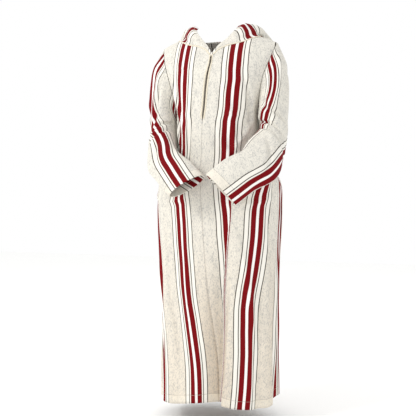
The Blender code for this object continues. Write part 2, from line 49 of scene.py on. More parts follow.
# Driving sizes, the same as the solids'
HEM_HEIGHT = -1.420
UNDERARM_HEIGHT = -0.290
SHOULDER_ROLL_HEIGHT = -0.170
SHOULDER_CROWN = 0.035
SHOULDER_SLOPE = 1.05
SECTION_POWER = 2.3
ARMHOLE_INSET = 26.0
ARMHOLE_ROUND = 0.55
ARMHOLE_SHARE = 0.88
NECK_CORNER = 46.0
SIDE = 90.0
CLOTH = 0.0016
SEAM_GAP = 0.0003
NECK_AXIS_Y = -0.010
ZIP_LENGTH = 0.250
ZIP_HALF_GAP = 0.0042
SLIT_TOP = -0.560
SLIT_FOOT = -0.790
SLIT_HALF_GAP = 0.0060
BRAID_WIDTH = 0.0050
BRAID_INSET = 0.0030
FRONT_BRAID_LIFT = 0.0014
NECK_BRAID_LIFT = 0.0018
HEM_BAND = 0.033
CUFF_BAND = 0.030
STITCH = 0.0026
STITCH_PITCH = 0.0040
STITCH_WIDTH = 0.0008
STITCH_HEIGHT = 0.0005
STITCH_LIFT = 0.0002
HOOD_STITCH_INSET = 0.012
BRAID_STEP = 0.0011
BRAID_PLAIT = 0.0042
BRAID_SIDES = 10
FRONT_BRAID_HEIGHT = 0.0017
NECK_BRAID_HEIGHT = 0.0018
TAPE_STEP = 0.004
TAPE_THICKNESS = 0.0006
TAPE_INSET = 0.0014
TOOTH_PITCH = 0.0021
TOOTH_INSET = 0.0006
TEETH_TOP_GAP = 0.006
RIPPLE_SIZE = 0.055
EDGE_CALM = 0.022
FLOOR_DROP = 0.06

# Body sections: height, half width, depth in front of the shoulder line, depth behind it
BODY_SECTIONS = (
    (-1.420, 0.238, 0.165, 0.168),
    (-1.150, 0.236, 0.160, 0.162),
    (-0.850, 0.240, 0.160, 0.155),
    (-0.640, 0.248, 0.162, 0.150),
    (-0.550, 0.240, 0.154, 0.143),
    (-0.450, 0.167, 0.138, 0.132),
    (-0.360, 0.161, 0.140, 0.125),
    (-0.280, 0.164, 0.140, 0.120),
    (-0.170, 0.200, 0.140, 0.115),
    (-0.080, 0.230, 0.128, 0.105),
    (0.040, 0.240, 0.110, 0.092),
)
# Folds: angle at the hem, angle at the top, half width in degrees, depth, sideways lean, height where it ends
BODY_FOLDS = (
    (1.0, 18.0, 12.0, 0.050, 0.032, -0.560),
    (-30.0, -34.0, 13.0, 0.014, 0.000, -0.700),
    (52.0, 47.0, 13.0, 0.016, 0.000, -0.640),
    (-68.0, -66.0, 12.0, 0.017, 0.000, -0.620),
    (84.0, 80.0, 12.0, 0.018, 0.000, -0.600),
    (-104.0, -100.0, 14.0, 0.020, 0.000, -0.660),
    (116.0, 110.0, 14.0, 0.022, 0.000, -0.640),
    (-142.0, -138.0, 14.0, 0.024, 0.000, -0.500),
    (148.0, 146.0, 13.0, 0.020, 0.000, -0.560),
    (178.0, 179.0, 14.0, 0.026, 0.000, -0.420),
)
# Sway of the front: height, degrees that the centre front has slid round the body
FRONT_SWAY = (
    (-1.420, 0.6), (-1.250, 1.4), (-1.090, 0.9), (-1.014, 0.3), (-0.900, -0.6),
    (-0.780, -2.1), (-0.680, -3.0), (-0.560, -5.5), (-0.430, -8.4), (-0.330, -7.2),
    (-0.230, -4.8), (-0.156, -2.2), (-0.120, -0.7), (-0.105, -0.15), (-0.092, 0.0),
    (-0.080, 0.0), (0.040, 0.0),
)
FRONT_NECKLINE = ((0.0, 28.0), (5.4, 37.0), (12.0, 42.5), (30.4, 54.0), (40.0, 71.0), (46.0, 90.0))
BACK_NECKLINE = ((134.0, 90.0), (142.0, 74.0), (158.0, 62.0), (180.0, 58.0))
HEM_LINE = (
    (-180.0, 0.014), (-110.0, 0.022), (-62.0, 0.008), (-36.0, 0.008), (-8.0, 0.026),
    (10.0, 0.022), (22.0, 0.013), (58.0, 0.009), (76.0, 0.018), (96.0, 0.038),
    (150.0, 0.022), (180.0, 0.014),
)
# Sleeves: centre, outward axis, half width along it, half thickness across it
SLEEVE_LEFT = (
    (0.214, -0.004, -0.190, 0.40, 0.00, 0.92, 0.113, 0.073),
    (0.218, -0.008, -0.234, 0.58, 0.00, 0.81, 0.088, 0.077),
    (0.220, -0.014, -0.294, 0.86, 0.00, 0.51, 0.060, 0.078),
    (0.223, -0.034, -0.365, 0.96, 0.26, -0.10, 0.054, 0.066),
    (0.212, -0.108, -0.432, 0.86, 0.26, -0.44, 0.072, 0.052),
    (0.198, -0.178, -0.490, 0.74, 0.22, -0.66, 0.077, 0.044),
    (0.142, -0.222, -0.528, 0.68, 0.21, -0.71, 0.079, 0.037),
    (0.080, -0.250, -0.580, 0.66, 0.21, -0.72, 0.077, 0.033),
)
SLEEVE_RIGHT = (
    (-0.222, -0.004, -0.190, -0.40, 0.00, 0.92, 0.113, 0.073),
    (-0.227, -0.008, -0.234, -0.58, 0.00, 0.81, 0.088, 0.077),
    (-0.226, -0.014, -0.294, -0.86, 0.00, 0.51, 0.063, 0.078),
    (-0.222, -0.026, -0.360, -1.00, 0.00, -0.02, 0.053, 0.074),
    (-0.202, -0.103, -0.428, -0.94, -0.10, -0.34, 0.054, 0.057),
    (-0.166, -0.176, -0.478, -0.86, -0.22, -0.46, 0.067, 0.044),
    (-0.110, -0.214, -0.519, -0.83, -0.26, -0.50, 0.073, 0.037),
    (-0.054, -0.238, -0.568, -0.82, -0.27, -0.51, 0.073, 0.032),
)
# Hood: place round the neck, then how far out and up from the seam the cloth lies on its way to the free rim
HOOD_STATIONS = (
    (0.00, -0.001, 0.003, -0.002, 0.006, -0.003, 0.009, -0.004, 0.012),
    (0.12, -0.002, 0.007, -0.004, 0.013, -0.007, 0.018, -0.011, 0.024),
    (0.25, -0.003, 0.012, -0.007, 0.024, -0.014, 0.035, -0.026, 0.043),
    (0.38, -0.010, 0.010, -0.014, 0.030, -0.030, 0.052, -0.052, 0.050),
    (0.50, -0.020, 0.008, -0.030, 0.030, -0.052, 0.054, -0.080, 0.046),
    (0.62, 0.014, 0.016, 0.030, 0.014, 0.026, 0.038, -0.035, 0.048),
    (0.74, 0.066, -0.006, 0.100, -0.078, 0.120, -0.050, 0.026, 0.046),
    (0.87, 0.086, -0.056, 0.108, -0.245, 0.142, -0.225, 0.094, 0.014),
    (1.00, 0.094, -0.084, 0.108, -0.362, 0.142, -0.345, 0.130, -0.022),
)

# Mesh fineness of the dressed cloth
SKIRT_ROWS = 96
ARMHOLE_ROWS = 12
SHOULDER_ROWS = 26
PANEL_ROWS = SKIRT_ROWS + ARMHOLE_ROWS + SHOULDER_ROWS + 1
FRONT_COLUMNS = 72
BACK_COLUMNS = 121
SLEEVE_COLUMNS = 85
SLEEVE_ROWS = 97
HOOD_COLUMNS = 161
HOOD_ROWS = 49

# Deep front fold: height, distance of its lip from the centre front, width of cloth that it hides
FOLD_LIP = (
    (-1.420, 0.010, 0.170), (-1.250, 0.032, 0.162), (-1.014, 0.072, 0.138),
    (-0.780, 0.108, 0.104), (-0.680, 0.126, 0.094), (-0.600, 0.138, 0.074),
    (-0.500, 0.142, 0.030), (-0.440, 0.142, 0.000), (0.040, 0.140, 0.000),
)
LIP_WIDTH = 0.022
# Cloth gathered below the waist: its width, then the heights and the distance across where it comes in
RIGHT_GATHER = 0.13
RIGHT_GATHER_TOP = -0.42
RIGHT_GATHER_FADE = 0.22
SIDE_GATHER = 0.085
SIDE_GATHER_TOP = -0.36
SIDE_GATHER_TOP_FADE = 0.14
SIDE_GATHER_FOOT = -1.02
SIDE_GATHER_FOOT_FADE = 0.30
SIDE_GATHER_START = 0.27
SIDE_GATHER_START_FADE = 0.07

# Stripes: distances in metres across the cloth
STRIPE_REPEAT = 0.202
FIRST_GROUP = 0.102
HOOD_SHIFT = 0.078
RED_HALF = 0.0244
GROUP_HALF = 0.0509
EDGE_SOFT = 0.0005
RAMP_REACH = 0.060
WEAVE_PITCH = 0.0016
BRAID_TWIST = 0.0021
TAPE_WEAVE = 0.0009
WANDER = 0.0030
YARN_WANDER = 0.0008
# Shares of a colour laid over the one below it
# Share of the warm tint towards the hem: partly the cloth's own tint, partly painted shade
WARM_TINT_AND_SHADE_SHARE = 0.75
# Share of the painted shade laid into the skirt's fold valleys
VALLEY_SHADE_SHARE = 0.45
FLECK_SHARE = 0.32
STREAK_SHARE = 0.16
BAND_SHARE = 0.45
WORN_SHARE = 0.16
FOLD_LINE_SHARE = 0.35

# How far the sleeves' stripes wander round the arm: distance along the sleeve, shift across the cloth
SLEEVE_LEFT_SHIFT = (
    (0.00, 0.016), (0.08, 0.014), (0.16, -0.008), (0.24, -0.044),
    (0.30, -0.082), (0.36, -0.113), (0.46, -0.134), (0.60, -0.134),
)
SLEEVE_RIGHT_SHIFT = (
    (0.00, 0.047), (0.12, 0.046), (0.20, 0.041), (0.27, 0.022),
    (0.35, -0.004), (0.42, -0.010), (0.50, 0.008), (0.60, 0.026),
)


# Shapes


def clamp(value, low=0.0, high=1.0):
    return max(low, min(high, value))


def ease(value):
    t = clamp(value)
    return t * t * (3.0 - 2.0 * t)


def read_table(rows, key, column):
    """Value of one column at a key, on a smooth curve through the table's rows."""
    if key <= rows[0][0]:
        return rows[0][column]
    if key >= rows[-1][0]:
        return rows[-1][column]
    index = max(i for i in range(len(rows) - 1) if rows[i][0] <= key)
    last = len(rows) - 1
    before, low = rows[max(index - 1, 0)], rows[index]
    high, after = rows[index + 1], rows[min(index + 2, last)]
    span = high[0] - low[0]
    t = (key - low[0]) / span
    slope_low = (high[column] - before[column]) / (high[0] - before[0]) * span
    slope_high = (after[column] - low[column]) / (after[0] - low[0]) * span
    value = (2 * t**3 - 3 * t**2 + 1) * low[column] + (t**3 - 2 * t**2 + t) * slope_low
    return value + (3 * t**2 - 2 * t**3) * high[column] + (t**3 - t**2) * slope_high


def thread_curve(points, along):
    """A place on the smooth curve through a row of points; along counts points from the first."""
    last = len(points) - 1
    low = int(clamp(math.floor(along), 0, last - 1))
    t = along - low
    p0, p1, p2, p3 = points[max(low - 1, 0)], points[low], points[low + 1], points[min(low + 2, last)]
    cubic = 3.0 * p1 - p0 - 3.0 * p2 + p3
    return 0.5 * (2.0 * p1 + (p2 - p0) * t + (2.0 * p0 - 5.0 * p1 + 4.0 * p2 - p3) * t**2 + cubic * t**3)


def wrap(angle):
    return (angle + 180.0) % 360.0 - 180.0


def shoulder_height(x):
    return SHOULDER_CROWN - SHOULDER_SLOPE * x * x


def hem_height(angle):
    return HEM_HEIGHT + read_table(HEM_LINE, wrap(angle), 1)


def signed_power(value, power):
    return math.copysign(abs(value) ** power, value)


def armhole_turn(height, top):
    along = clamp(ARMHOLE_SHARE * (height - UNDERARM_HEIGHT) / (top - UNDERARM_HEIGHT))
    return SIDE - ARMHOLE_INSET * math.sin(math.pi * along) ** ARMHOLE_ROUND if along > 0.0 else SIDE


def fold_offset(angle, height):
    depth = lean = 0.0
    for hem_angle, top_angle, half_width, hem_depth, hem_lean, end_height in BODY_FOLDS:
        fade = clamp((end_height - height) / (end_height - HEM_HEIGHT))
        if fade <= 0.0:
            continue
        away = wrap(angle - (top_angle + (hem_angle - top_angle) * fade))
        if abs(away) < half_width:
            bump = math.cos(math.pi / 2.0 * away / half_width) ** 2 * ease(fade * 1.6) * (0.55 + 0.45 * fade)
            depth += hem_depth * bump
            lean += hem_lean * bump
    return depth, lean


def slide_front(angle, height):
    return angle + read_table(FRONT_SWAY, height, 1) * math.cos(math.radians(angle)) ** 2


def body_point(angle, height, roll=0.0):
    """A place on the body cloth, by angle from the centre front, height and degrees up the roll."""
    angle = wrap(angle)
    behind = abs(angle) > SIDE
    turn = math.copysign(180.0 - abs(angle), angle) if behind else angle
    lift = math.sin(math.radians(roll))
    level = height
    x = 0.0
    for _ in range(3 if roll > 0.0 else 1):
        if roll > 0.0:
            level = SHOULDER_ROLL_HEIGHT + (shoulder_height(x) - SHOULDER_ROLL_HEIGHT) * lift
        width = read_table(BODY_SECTIONS, level, 1)
        slid = turn if behind else slide_front(turn, level)
        at = math.radians(slid * armhole_turn(level, shoulder_height(width)) / SIDE)
        x = width * signed_power(math.sin(at), 2.0 / SECTION_POWER)
    depth = read_table(BODY_SECTIONS, level, 3 if behind else 2) * math.cos(math.radians(roll))
    y = depth * signed_power(math.cos(at), 2.0 / SECTION_POWER) * (1.0 if behind else -1.0)
    fold, lean = fold_offset(angle if behind else slid, level)
    inward = Vector((-x, -y, 0.0)).normalized() if fold else Vector((0.0, 0.0, 0.0))
    return Vector((x + inward.x * fold + lean, y + inward.y * fold, level))


def neckline_roll(angle):
    turn = abs(wrap(angle))
    if turn <= NECK_CORNER:
        return read_table(FRONT_NECKLINE, turn, 1)
    if turn >= 180.0 - NECK_CORNER:
        return read_table(BACK_NECKLINE, turn, 1)
    return 90.0


def panel_point(angle, row):
    """A place on the body cloth by angle and by row, counted up from the hem."""
    if row <= SKIRT_ROWS:
        bottom = hem_height(angle)
        return body_point(angle, bottom + (UNDERARM_HEIGHT - bottom) * row / SKIRT_ROWS)
    if row <= SKIRT_ROWS + ARMHOLE_ROWS:
        step = (row - SKIRT_ROWS) / ARMHOLE_ROWS
        return body_point(angle, UNDERARM_HEIGHT + (SHOULDER_ROLL_HEIGHT - UNDERARM_HEIGHT) * step)
    step = (row - SKIRT_ROWS - ARMHOLE_ROWS) / SHOULDER_ROWS
    return body_point(angle, SHOULDER_ROLL_HEIGHT, neckline_roll(angle) * step)


def edge_gap(angle, height):
    """Half the gap at a seam of the body: its own, the zip's opening, or the gape of a pocket slit."""
    half = SEAM_GAP / 2.0
    if abs(angle) < 0.01:
        foot = body_point(0.0, SHOULDER_ROLL_HEIGHT, neckline_roll(0.0)).z - ZIP_LENGTH
        return half + (ZIP_HALF_GAP - half) * ease((height - foot) / 0.030)
    if SLIT_FOOT < height < SLIT_TOP:
        return half + SLIT_HALF_GAP * math.sin(math.pi * (height - SLIT_FOOT) / (SLIT_TOP - SLIT_FOOT)) ** 2
    return half


def armhole_rise(turn):
    """How far up the armhole a turn round it lies, from 0 to 1, and whether it is behind the arm."""
    turn = turn % 360.0
    behind = turn > 180.0
    return 1.0 - (360.0 - turn if behind else turn) / 180.0, behind


def armhole_point(side, turn):
    """A place on the armhole: turn 0 at the shoulder, 90 in front, 180 under the arm, 270 behind."""
    rise, behind = armhole_rise(turn)
    row = SKIRT_ROWS + rise_rows(rise)
    return panel_point(side * (SIDE + (0.001 if behind else -0.001)), row)


def rise_rows(rise):
    """Rows above the underarm at a share of the armhole; its first third is straight."""
    share = 1.0 / 3.0
    if rise <= share:
        return ARMHOLE_ROWS * rise / share
    return ARMHOLE_ROWS + SHOULDER_ROWS * (rise - share) / (1.0 - share)


def sleeve_point(rings, turn_index, along):
    return thread_curve([ring[turn_index] for ring in rings], along)


def sleeve_rings(side, stations, turns):
    rings = [[armhole_point(side, turn) for turn in turns]]
    centres = [Vector(row[0:3]) for row in stations]
    for index, row in enumerate(stations):
        ahead = centres[min(index + 1, len(centres) - 1)] - centres[max(index - 1, 0)]
        ahead.normalize()
        outward = Vector(row[3:6]).normalized()
        across = ahead.cross(outward).normalized() * side
        ring = []
        for turn in turns:
            angle = math.radians(turn)
            place = centres[index] + outward * math.cos(angle) * row[6]
            ring.append(place + across * math.sin(angle) * row[7])
        rings.append(ring)
    return rings


def neck_angle(place):
    turn = abs(place)
    angle = NECK_CORNER * turn / 0.5 if turn <= 0.5 else 180.0 - NECK_CORNER * (1.0 - turn) / 0.5
    return math.copysign(angle, place)


def hood_point(place, down):
    """A place on the hood: round the neck from -1 to 1, and down from 0 at the neck seam to 1 at the rim."""
    wrapped = (place + 1.0) % 2.0 - 1.0
    station = abs(wrapped)
    angle = neck_angle(station)
    seam = body_point(angle, SHOULDER_ROLL_HEIGHT, neckline_roll(angle))
    away = Vector((seam.x, seam.y - NECK_AXIS_Y, 0.0)).normalized()
    points = [seam]
    for column in (1, 3, 5, 7):
        out, up = (read_table(HOOD_STATIONS, station, k) for k in (column, column + 1))
        points.append(seam + away * out + Vector((0.0, 0.0, up)))
    point = thread_curve(points, down * (len(points) - 1))
    return Vector((math.copysign(point.x, wrapped), point.y, point.z))


# Cloth grids


def as_array(grid):
    return np.array([[tuple(p) for p in line] for line in grid])


def unit(vectors):
    return vectors / np.maximum(np.linalg.norm(vectors, axis=-1, keepdims=True), 1e-9)


def grid_normals(points, closed=False):
    """Outward normals of a grid whose columns run anticlockwise seen from above and whose rows run up."""
    if closed:
        inner = points[:, :-1]
        across = np.roll(inner, -1, axis=1) - np.roll(inner, 1, axis=1)
        across = np.concatenate([across, across[:, :1]], axis=1)
    else:
        across = np.gradient(points, axis=1)
    return unit(np.cross(across, np.gradient(points, axis=0)))


def arc_along(points, axis):
    """Running length of a grid's lines along an axis, from its first row or column."""
    steps = np.linalg.norm(np.diff(points, axis=axis), axis=-1)
    start = np.zeros_like(np.take(steps, [0], axis=axis))
    return np.concatenate([start, np.cumsum(steps, axis=axis)], axis=axis)


def crease_field(u, v, creases):
    """Height of soft ridges and troughs; each crease is three cloth places, a half width and a height."""
    field = np.zeros_like(u)
    for start, middle, end, width, height in creases:
        nearest = np.full_like(u, 1e9)
        along = np.zeros_like(u)
        steps = 8
        line = []
        for i in range(steps + 1):
            t = i / steps
            blend = ((1 - t) ** 2, 2 * t * (1 - t), t * t)
            line.append([sum(b * p[k] for b, p in zip(blend, (start, middle, end))) for k in (0, 1)])
        for i in range(steps):
            (ax, ay), (bx, by) = line[i], line[i + 1]
            dx, dy = bx - ax, by - ay
            t = np.clip(((u - ax) * dx + (v - ay) * dy) / (dx * dx + dy * dy), 0.0, 1.0)
            away = (u - ax - t * dx) ** 2 + (v - ay - t * dy) ** 2
            closer = away < nearest
            nearest = np.where(closer, away, nearest)
            along = np.where(closer, (i + t) / steps, along)
        taper = np.sin(math.pi * np.clip(along, 0.03, 0.97)) ** 0.7
        square = nearest / width**2
        field += height * taper * (np.exp(-square) - 0.38 * np.exp(-square / 5.0))
    return field


def ripple(points, seed, size, height):
    """Gentle uneven waves from place to place, the same each run."""
    start = Vector((seed, 0.0, 0.0))
    scaled = points.reshape(-1, 3) / (size, size, size * 2.2)
    waves = [noise.noise(Vector(place) + start) for place in scaled]
    return np.array(waves).reshape(points.shape[:2]) * height


def fade_in(distance, reach):
    t = np.clip(distance / reach, 0.0, 1.0)
    return t * t * (3.0 - 2.0 * t)


def drop_selection():
    for item in bpy.context.selected_objects:
        item.select_set(False)


def edit_all(operator, **settings):
    """Runs a mesh operator on the whole active object."""
    bpy.ops.object.mode_set(mode="EDIT")
    bpy.ops.mesh.select_all(action="SELECT")
    operator(**settings)
    bpy.ops.object.mode_set(mode="OBJECT")


def cloth_piece(name, points, cloth_uv, edge_uv, closed=False):
    """A grid primitive shaped to the points and given the cloth's thickness; closed joins its sides."""
    rows, columns = points.shape[:2]
    drop_selection()
    bpy.ops.mesh.primitive_grid_add(x_subdivisions=columns - 1, y_subdivisions=rows - 1, size=1.0)
    item = bpy.context.object
    item.name = name
    mesh = item.data
    mesh.name = name
    flat = np.empty(len(mesh.vertices) * 3)
    mesh.vertices.foreach_get("co", flat)
    flat = flat.reshape(-1, 3)
    column = np.rint((flat[:, 0] + 0.5) * (columns - 1)).astype(int)
    row = np.rint((flat[:, 1] + 0.5) * (rows - 1)).astype(int)
    mesh.vertices.foreach_set("co", points[row, column].reshape(-1))
    corner = np.empty(len(mesh.loops), dtype=np.int32)
    mesh.loops.foreach_get("vertex_index", corner)
    while mesh.uv_layers:
        mesh.uv_layers.remove(mesh.uv_layers[0])
    for layer_name, values in (("cloth", cloth_uv), ("edge", edge_uv)):
        layer = mesh.uv_layers.new(name=layer_name)
        pair = np.stack([values[0][row, column][corner], values[1][row, column][corner]], axis=-1)
        layer.data.foreach_set("uv", pair.reshape(-1))
    mesh.update()
    if closed:
        edit_all(bpy.ops.mesh.remove_doubles, threshold=0.00002)
    solid = item.modifiers.new("thickness", "SOLIDIFY")
    solid.thickness = CLOTH
    solid.offset = 0.0
    bpy.ops.object.modifier_apply(modifier=solid.name)
    bpy.ops.object.shade_smooth()
    return item


def spread(start, end, count):
    return [start + (end - start) * i / (count - 1) for i in range(count)]


def panel_grid(angles):
    """Points of a body panel, with the columns beside its seams moved for the zip and the pocket slits."""
    points = as_array([[panel_point(angle, row) for angle in angles] for row in range(PANEL_ROWS)])
    across = unit(np.gradient(points, axis=1))
    reach = 7
    for first, step, angle in ((0, 1, angles[0]), (len(angles) - 1, -1, angles[-1])):
        angle = angle if abs(abs(wrap(angle)) - SIDE) > 0.5 else SIDE
        for row in range(PANEL_ROWS):
            gap = edge_gap(angle, points[row, first, 2])
            for k in range(reach):
                push = across[row, first + step * k] * step * gap * (1.0 - k / reach) ** 2
                points[row, first + step * k] += push
    return points


def panel_measures(points, angles):
    """Distances on a panel: across from its first column, up from the hem and down from its top."""
    hem = points[..., 2] - np.array([hem_height(a) for a in angles])[None, :]
    return arc_along(points, 1), hem, arc_along(points[::-1], 0)[::-1]


def add_creases(points, normals, u, v, edge, creases, seed, ripple_height=0.0022):
    """Moves a grid's points out and in by its creases and a gentle ripple, less beside its seams."""
    field = crease_field(u, v, creases) + ripple(points, seed, RIPPLE_SIZE, ripple_height)
    return points + normals * (field * fade_in(edge, EDGE_CALM))[..., None]


def stripe_distance(points, u):
    """Distance across the cloth, with the stripes upright above the armhole's foot, as cloth hangs there."""
    start = SKIRT_ROWS + ARMHOLE_ROWS
    result = u.copy()
    order = np.argsort(np.abs(points[start, :, 0]))
    xs, us = np.abs(points[start, order, 0]), u[start, order]
    for row in range(start + 1, PANEL_ROWS):
        lean = clamp((row - start) / 6.0)
        upright = np.interp(np.abs(points[row, :, 0]), xs, us)
        past = np.maximum(np.abs(points[row, :, 0]) - xs[-1], 0.0)
        result[row] = u[row] * (1.0 - lean) + (upright + past) * lean
    return result


# Creases of each piece: start, middle and end as (distance across, height or distance along),
# then half width and height
FRONT_LEFT_CREASES = (
    ((0.06, -0.62), (0.16, -0.66), (0.30, -0.60), 0.0128, 0.011),
    ((0.10, -0.70), (0.20, -0.90), (0.19, -1.30), 0.0136, 0.011),
    ((0.33, -0.60), (0.36, -0.90), (0.34, -1.36), 0.0144, 0.0129),
    ((0.25, -0.64), (0.27, -0.86), (0.27, -1.15), 0.0112, -0.0092),
    ((0.42, -0.70), (0.44, -1.00), (0.43, -1.38), 0.0128, 0.011),
    ((0.05, -0.16), (0.11, -0.30), (0.15, -0.50), 0.012, 0.012),
    ((0.12, -0.12), (0.17, -0.22), (0.20, -0.36), 0.0112, -0.012),
    ((0.03, -0.30), (0.09, -0.40), (0.13, -0.52), 0.0104, 0.0096),
    ((0.22, -0.30), (0.15, -0.40), (0.08, -0.48), 0.0104, 0.0096),
)
FRONT_RIGHT_CREASES = (
    ((0.05, -0.60), (0.14, -0.66), (0.28, -0.60), 0.0128, 0.011),
    ((0.07, -0.68), (0.08, -0.95), (0.10, -1.36), 0.0128, 0.011),
    ((0.17, -0.62), (0.18, -0.90), (0.16, -1.30), 0.012, -0.011),
    ((0.26, -0.60), (0.27, -0.95), (0.28, -1.38), 0.0144, 0.0129),
    ((0.36, -0.66), (0.37, -1.00), (0.38, -1.36), 0.0128, 0.011),
    ((0.17, -0.13), (0.15, -0.24), (0.09, -0.36), 0.012, 0.0144),
    ((0.20, -0.20), (0.17, -0.32), (0.11, -0.44), 0.0112, 0.012),
    ((0.03, -0.22), (0.06, -0.34), (0.07, -0.52), 0.0104, -0.0096),
    ((0.21, -0.34), (0.16, -0.42), (0.08, -0.50), 0.0104, 0.012),
)
BACK_CREASES = (
    ((0.04, -0.42), (0.06, -0.80), (0.05, -1.36), 0.0144, 0.0129),
    ((-0.10, -0.46), (-0.12, -0.85), (-0.11, -1.36), 0.0144, 0.0129),
    ((0.19, -0.40), (0.20, -0.85), (0.21, -1.38), 0.0144, 0.0129),
    ((-0.25, -0.42), (-0.26, -0.85), (-0.27, -1.36), 0.0144, 0.0129),
    ((0.33, -0.55), (0.34, -0.90), (0.35, -1.36), 0.0128, -0.011),
    ((-0.36, -0.55), (-0.37, -0.95), (-0.38, -1.38), 0.0128, -0.011),
    ((-0.19, -0.16), (-0.08, -0.26), (0.02, -0.31), 0.0128, 0.0092),
    ((0.19, -0.18), (0.10, -0.30), (-0.01, -0.37), 0.0128, 0.0092),
    ((-0.18, -0.32), (-0.06, -0.42), (0.07, -0.44), 0.012, 0.0092),
)
SLEEVE_LEFT_CREASES = (
    ((-0.10, 0.02), (-0.02, 0.10), (0.05, 0.20), 0.0112, 0.0139),
    ((0.02, 0.03), (0.07, 0.12), (0.10, 0.22), 0.0104, -0.0116),
    ((0.16, 0.10), (0.09, 0.20), (0.00, 0.27), 0.0104, 0.0162),
    ((0.19, 0.17), (0.12, 0.26), (0.02, 0.33), 0.0096, 0.0162),
    ((0.18, 0.25), (0.10, 0.31), (0.00, 0.37), 0.0088, 0.0139),
    ((-0.18, 0.22), (-0.11, 0.28), (-0.03, 0.31), 0.0104, 0.0139),
    ((0.12, 0.33), (0.09, 0.41), (0.04, 0.50), 0.0104, 0.0139),
    ((-0.02, 0.34), (0.01, 0.42), (0.01, 0.52), 0.0104, -0.0116),
    ((-0.14, 0.36), (-0.11, 0.44), (-0.08, 0.53), 0.0112, 0.0139),
)
SLEEVE_RIGHT_CREASES = (
    ((-0.09, 0.03), (-0.01, 0.12), (0.06, 0.24), 0.0112, 0.0139),
    ((0.13, 0.06), (0.10, 0.16), (0.06, 0.27), 0.0112, 0.0186),
    ((0.04, 0.02), (0.05, 0.14), (0.02, 0.25), 0.0104, -0.0139),
    ((0.18, 0.18), (0.11, 0.27), (0.02, 0.31), 0.0096, 0.0162),
    ((0.17, 0.26), (0.09, 0.32), (-0.01, 0.36), 0.0096, 0.0162),
    ((-0.17, 0.20), (-0.10, 0.27), (-0.02, 0.32), 0.0104, 0.0139),
    ((0.10, 0.34), (0.08, 0.42), (0.06, 0.50), 0.0104, 0.0116),
    ((-0.04, 0.35), (-0.02, 0.43), (0.00, 0.52), 0.0104, 0.0116),
    ((-0.15, 0.34), (-0.12, 0.43), (-0.10, 0.52), 0.0112, -0.0116),
)


def tuck_cloth(u, height):
    """Distance across the cloth, with the deep front fold's hidden cloth added just before the fold's lip."""
    lip = np.array([read_table(FOLD_LIP, z, 1) for z in height[:, 0]])[:, None]
    hidden = np.array([read_table(FOLD_LIP, z, 2) for z in height[:, 0]])[:, None]
    return u + hidden * fade_in(u - (lip - LIP_WIDTH), LIP_WIDTH)


def grid_fields(points, u, hem, top, closed=False, facing=1.0):
    """What trim and sewing need of a piece: points, normals, and distances across and from its ends."""
    normals = grid_normals(points, closed=closed) * facing
    return {"points": points, "normals": normals, "u": u, "hem": hem, "top": top}


def make_front(name, side, creases, seed):
    columns = spread(0.0, SIDE, FRONT_COLUMNS)
    angles = columns if side > 0 else [-a for a in reversed(columns)]
    points = panel_grid(angles)
    first, hem, below_top = panel_measures(points, angles)
    u = first if side > 0 else first[:, -1:] - first
    rest = first[:, -1:] - u
    edge = np.minimum(np.minimum(u, rest), below_top)
    normals = grid_normals(points)
    across = stripe_distance(points, u)
    points = add_creases(points, normals, across, points[..., 2], edge, creases, seed)
    height = points[..., 2]
    if side > 0:
        gather = fade_in(SIDE_GATHER_TOP - height, SIDE_GATHER_TOP_FADE)
        gather = gather * fade_in(height - SIDE_GATHER_FOOT, SIDE_GATHER_FOOT_FADE)
        gather = SIDE_GATHER * gather * fade_in(across - SIDE_GATHER_START, SIDE_GATHER_START_FADE)
        stripes = tuck_cloth(across, height) + gather
    else:
        stripes = across * (1.0 + RIGHT_GATHER * fade_in(RIGHT_GATHER_TOP - height, RIGHT_GATHER_FADE))
    piece = cloth_piece(name, points, (stripes, height), (np.minimum(u, rest), hem))
    return piece, grid_fields(points, u, hem, below_top)


def make_back():
    angles = spread(SIDE + 0.001, 270.0 - 0.001, BACK_COLUMNS)
    points = panel_grid(angles)
    first, hem, below_top = panel_measures(points, angles)
    middle = BACK_COLUMNS // 2
    signed = first - first[:, middle:middle + 1]
    rest = np.minimum(first, first[:, -1:] - first)
    normals = grid_normals(points)
    across = stripe_distance(points, np.abs(signed))
    edge = np.minimum(rest, below_top)
    points = add_creases(points, normals, signed, points[..., 2], edge, BACK_CREASES, 31.0)
    piece = cloth_piece("robe_back", points, (across, points[..., 2]), (rest, hem))
    return piece, grid_fields(points, first, hem, below_top)


def sewn_start(points, normals_at, ahead_rows, reach):
    """Moves a piece's first rows clear of the panel that they are sewn to, less and less along the piece."""
    panel_out, panel_normal = normals_at
    ahead = unit(points[ahead_rows] - points[0])
    turned = np.clip(1.5 * (1.0 - np.sum(panel_out * ahead, axis=-1)), 0.0, 1.0)[:, None]
    shift = panel_out * SEAM_GAP * (1.0 + 2.0 * turned) + panel_normal * (CLOTH + SEAM_GAP * 2.0) * turned
    for row in range(reach):
        points[row] += shift * (1.0 - row / reach) ** 2
    return points


